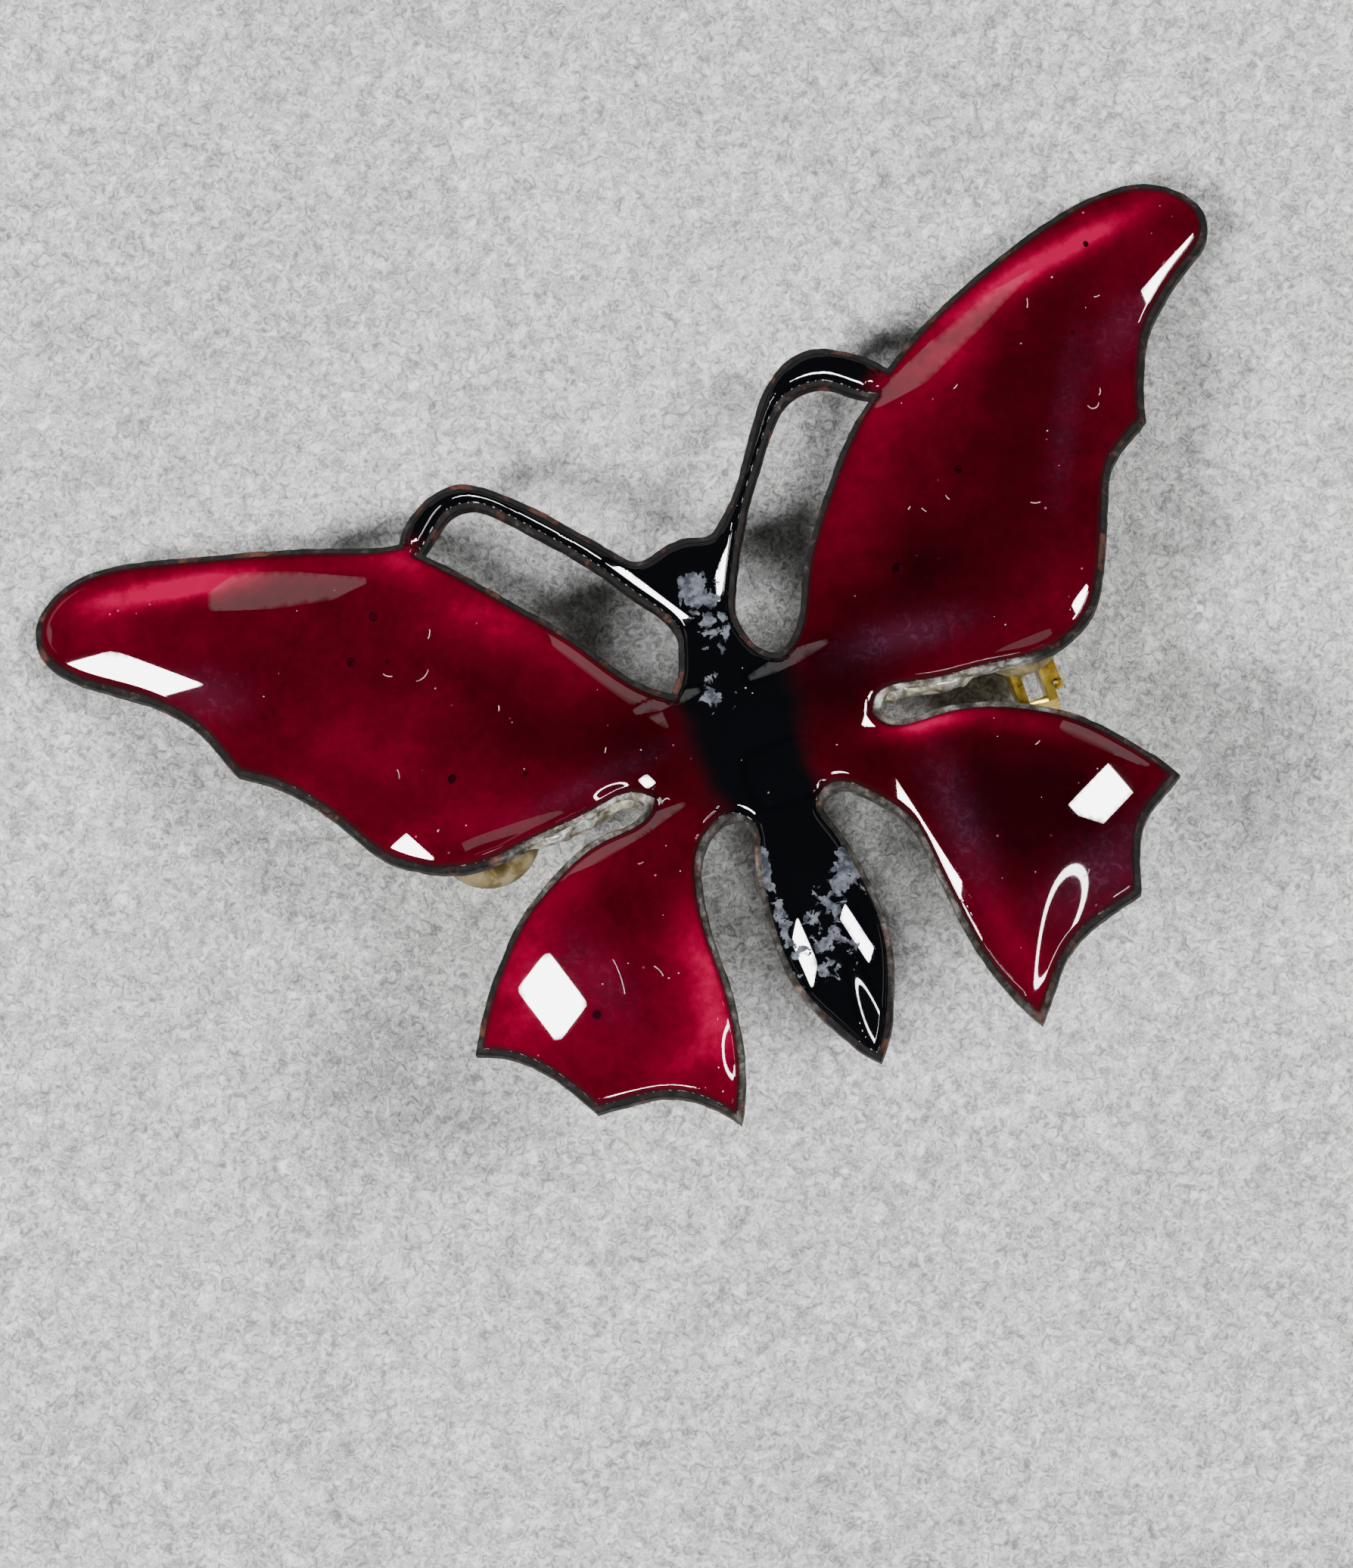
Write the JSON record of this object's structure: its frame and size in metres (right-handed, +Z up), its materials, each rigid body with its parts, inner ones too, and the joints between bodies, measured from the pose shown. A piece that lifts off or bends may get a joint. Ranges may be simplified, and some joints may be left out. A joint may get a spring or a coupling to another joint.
{
  "type": "enamelled butterfly brooch",
  "caption": "Enamelled copper butterfly brooch with a hinged pin across its back and a rotating safety catch, for fastening to clothing.",
  "frame": {"origin": "middle of the bounding box at table height, with the brooch lying on its joint, catch and left wing tip as it rests on a table", "axes": "+X across the wings to the right as seen from the enamelled face, +Y towards the head, +Z up out of the enamelled face"},
  "size_m": [0.0564, 0.0342, 0.0129],
  "materials": {
    "oxidised_copper": "copper sheet with grey firescale and worn reddish edges",
    "ruby_glass": "glossy deep ruby vitreous enamel",
    "black_glass": "glossy black vitreous enamel with worn patches",
    "counter_glass": "mottled dark counter enamel",
    "brass": "bright stamped brass",
    "pin_wire": "hard drawn brass wire, polished",
    "glue": "yellowed clear epoxy glue"
  },
  "bodies": {
    "brooch": {"copper_blank": "oxidised_copper", "ruby_enamel_left": "ruby_glass", "ruby_enamel_right": "ruby_glass", "black_enamel": "black_glass", "counter_enamel": "counter_glass", "joint_base": "brass", "joint_rivet": "brass", "catch_base": "brass", "glue_joint": "glue", "glue_catch": "glue"},
    "pin": {"pin_stem": "pin_wire"},
    "barrel": {"catch_rotor": "brass"}
  },
  "joints": [
    {"name": "pin_swing", "type": "hinge", "parent": "brooch", "child": "pin", "pos_m": [-0.0115, -0.0008, 0.00164], "axis": [0, 0.9666, -0.2563], "range_deg": [0, 110]},
    {"name": "catch_turn", "type": "hinge", "parent": "brooch", "child": "barrel", "pos_m": [0.01345, -0.0008, 0.00164], "axis": [-1, 0, 0], "range_deg": [0, 100]}
  ]
}
